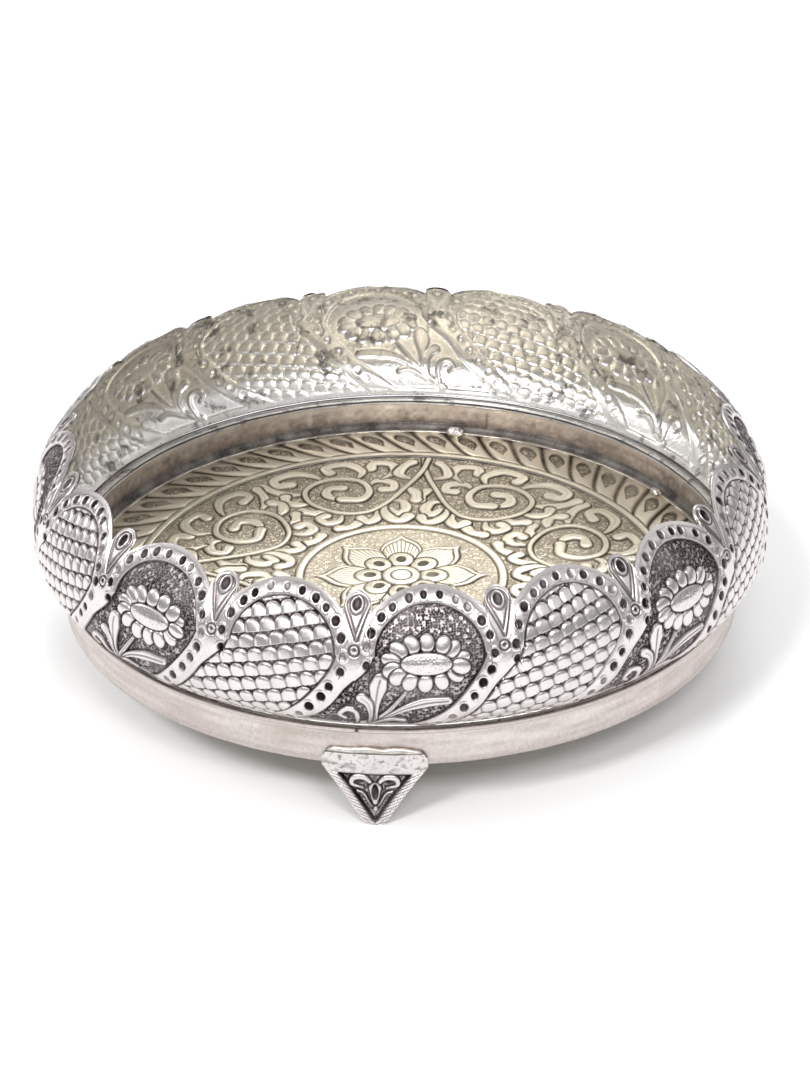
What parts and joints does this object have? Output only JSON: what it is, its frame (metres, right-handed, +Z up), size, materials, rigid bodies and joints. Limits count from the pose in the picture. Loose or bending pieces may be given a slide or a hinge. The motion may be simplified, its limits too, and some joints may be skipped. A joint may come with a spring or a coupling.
{
  "type": "offering plate",
  "caption": "Round footed offering plate: flat chased floor, plain band, bulging repousse wall with a scalloped rim, small triangular feet.",
  "frame": {"origin": "on the plate's axis, at the height of the tips of the feet", "axes": "+Z up along the plate's axis, -Y towards the front foot, +X to the right"},
  "size_m": [0.248, 0.248, 0.0845],
  "materials": {
    "wall_silver": "silvered, repousse worked, dark oxide in the recesses and worn bright on the high parts",
    "floor_silver": "silvered, chased, warm tarnish with dark recesses",
    "band_silver": "silvered, plain satin with faint streaks",
    "solder": "dull silver solder"
  },
  "bodies": {
    "root": {"floor_disc": "floor_silver", "base_band": "band_silver", "floor_solder_seam": "solder", "wall_seat_ring": "band_silver", "bead_wire": "band_silver", "repousse_wall": "wall_silver", "foot_front": "wall_silver", "foot_rear_right": "wall_silver", "foot_rear_left": "wall_silver", "foot_front_solder": "solder", "foot_rear_right_solder": "solder", "foot_rear_left_solder": "solder", "floor_solder_lump_large": "solder", "floor_solder_lump_small": "solder"}
  },
  "joints": []
}
